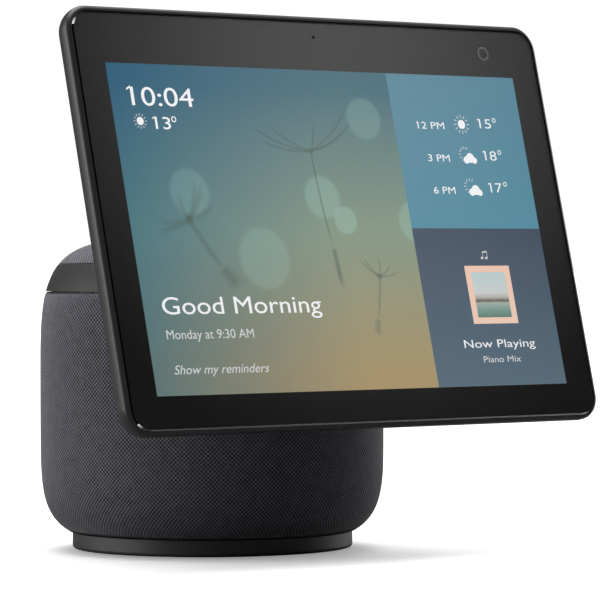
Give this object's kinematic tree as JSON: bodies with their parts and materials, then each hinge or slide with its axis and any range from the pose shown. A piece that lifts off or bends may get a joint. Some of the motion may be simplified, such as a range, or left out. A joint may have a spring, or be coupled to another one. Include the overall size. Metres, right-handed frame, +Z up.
{
  "type": "smart display",
  "caption": "Tabletop smart display: a flat touch screen on a tilting arm, carried by the motor-driven turning top of a round fabric-covered speaker base.",
  "frame": {"origin": "centre of the rubber foot's underside, on the axis that the top turns about", "axes": "+Z up along the swivel axis, -Y towards the viewer that the screen faces, +X to the right of that viewer's screen image"},
  "size_m": [0.25, 0.1851, 0.2255],
  "materials": {
    "body_fabric": "woven twill",
    "satin_plastic": "satin moulded",
    "inner_plastic": "moulded",
    "key_plastic": "satin moulded",
    "soft_rubber": "matt",
    "steel": "plain",
    "polished_steel": "ground",
    "cast_alloy": "black painted casting",
    "sheet_alloy": "plain sheet",
    "brass": "plain",
    "gear_plastic": "natural acetal",
    "circuit_board": "solder mask",
    "component": "moulded packages",
    "cover_glass": "polished",
    "black_ink": "printed black",
    "lcd": "polariser",
    "light_guide": "diffuser",
    "lens_glass": "coated",
    "cone_paper": "pressed cone",
    "ferrite": "magnet and plates"
  },
  "bodies": {
    "base": {"base_foot": "satin_plastic", "foot_pad": "soft_rubber", "ballast_plate": "steel", "body_fabric": "body_fabric", "body_shell": "inner_plastic", "dc_inlet": "inner_plastic", "dc_centre_pin": "brass", "power_board": "circuit_board", "power_components": "component", "speaker_enclosure": "inner_plastic", "woofer_frame": "steel", "woofer_magnet": "ferrite", "woofer_surround": "soft_rubber", "tweeter_bodies": "ferrite", "tweeter_domes": "cone_paper", "top_deck": "inner_plastic", "bearing_outer_race": "polished_steel", "bearing_balls": "polished_steel", "swivel_motor": "steel", "idler_axle": "polished_steel", "base_screws": "steel"},
    "woofer_diaphragm": {"woofer_cone": "cone_paper"},
    "idler": {"idler_gear": "gear_plastic"},
    "motor_rotor": {"motor_pinion": "brass"},
    "turret": {"turret_plate": "cast_alloy", "swivel_spindle": "cast_alloy", "spindle_nut": "steel", "bearing_inner_race": "polished_steel", "ring_gear": "gear_plastic", "turret_band": "satin_plastic", "cap_shell": "inner_plastic", "cap_fabric": "body_fabric", "hinge_arm": "cast_alloy", "swivel_cable": "soft_rubber", "turret_screws": "steel"},
    "screen": {"cover_glass": "cover_glass", "bezel_mask": "black_ink", "display_frame": "satin_plastic", "back_cover": "satin_plastic", "lcd_panel": "lcd", "backlight": "light_guide", "panel_chassis": "sheet_alloy", "main_board": "circuit_board", "board_shields": "sheet_alloy", "camera_module": "component", "camera_lens": "lens_glass", "microphone_board": "circuit_board", "button_board": "circuit_board", "button_switches": "component", "hinge_brackets": "steel", "hinge_pin": "polished_steel", "torque_washers": "steel", "hinge_covers": "satin_plastic", "display_screws": "steel"},
    "mute_key": {"mute_button": "key_plastic"},
    "volume_down_key": {"volume_down_button": "key_plastic"},
    "volume_up_key": {"volume_up_button": "key_plastic"},
    "camera_shutter": {"shutter_slider": "key_plastic", "shutter_blade": "component"}
  },
  "joints": [
    {"name": "swivel", "type": "hinge", "parent": "base", "child": "turret", "pos_m": [0, 0, 0.105], "axis": [0, 0, 1], "range_deg": [-175, 175]},
    {"name": "screen_tilt", "type": "hinge", "parent": "turret", "child": "screen", "pos_m": [0, -0.079, 0.106], "axis": [-1, 0, 0], "range_deg": [-14.4, 25.6]},
    {"name": "idler_spin", "type": "hinge", "parent": "base", "child": "idler", "pos_m": [0, 0.039, 0.105], "axis": [0, 0, 1], "range_deg": [-1315, 1315]},
    {"name": "motor_spin", "type": "hinge", "parent": "base", "child": "motor_rotor", "pos_m": [0.02284, 0.03162, 0.1], "axis": [0, 0, 1], "range_deg": [-5260, 5260]},
    {"name": "woofer_travel", "type": "slide", "parent": "base", "child": "woofer_diaphragm", "axis": [0, -1, 0], "range_m": [-0.002, 0.002]},
    {"name": "mute_press", "type": "slide", "parent": "screen", "child": "mute_key", "axis": [0, -0.2487, -0.9686], "range_m": [0, 0.0005], "stiffness_N_per_m": 1500, "springref_m": -0.0006},
    {"name": "volume_down_press", "type": "slide", "parent": "screen", "child": "volume_down_key", "axis": [0, -0.2487, -0.9686], "range_m": [0, 0.0005], "stiffness_N_per_m": 1500, "springref_m": -0.0006},
    {"name": "volume_up_press", "type": "slide", "parent": "screen", "child": "volume_up_key", "axis": [0, -0.2487, -0.9686], "range_m": [0, 0.0005], "stiffness_N_per_m": 1500, "springref_m": -0.0006},
    {"name": "shutter_slide", "type": "slide", "parent": "screen", "child": "camera_shutter", "axis": [1, 0, 0], "range_m": [0, 0.0075]}
  ],
  "couplings": [
    {"joint": "idler_spin", "follows": "swivel", "ratio": 7.5},
    {"joint": "motor_spin", "follows": "swivel", "ratio": -30}
  ]
}
